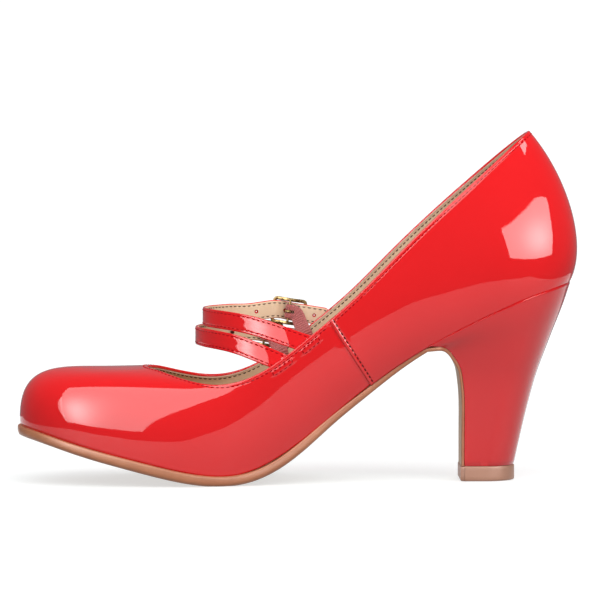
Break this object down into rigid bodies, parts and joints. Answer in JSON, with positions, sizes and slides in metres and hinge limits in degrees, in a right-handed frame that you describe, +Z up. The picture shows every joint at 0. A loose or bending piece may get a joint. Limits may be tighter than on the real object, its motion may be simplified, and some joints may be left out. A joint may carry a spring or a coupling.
{
  "type": "mary jane pump",
  "caption": "High-heeled mary jane pump in red patent with a round toe, instep straps buckled on elastic loops, a covered block heel and a leather outsole.",
  "frame": {"origin": "on the floor, under the middle of the shoe's bounding box", "axes": "toe points to -X, inner side of the foot faces -Y, +Z up, standing on Z = 0"},
  "size_m": [0.2182, 0.0784, 0.1362],
  "materials": {
    "patent_red": "patent, high gloss",
    "strap_patent": "patent, high gloss",
    "heel_patent": "patent cover, high gloss",
    "sole_leather": "burnished edge, satin",
    "lining": "matt lining leather",
    "tip": "matt",
    "elastic": "ribbed, matt",
    "buckle_brass": "antique, satin"
  },
  "bodies": {
    "root": {"upper": "patent_red", "outsole": "sole_leather", "insole": "lining", "heel": "heel_patent", "heel_tip": "tip", "strap_front": "strap_patent", "elastic_front": "elastic", "buckle_front": "buckle_brass", "prong_front": "buckle_brass", "strap_rear": "strap_patent", "elastic_rear": "elastic", "buckle_rear": "buckle_brass", "prong_rear": "buckle_brass"}
  },
  "joints": []
}
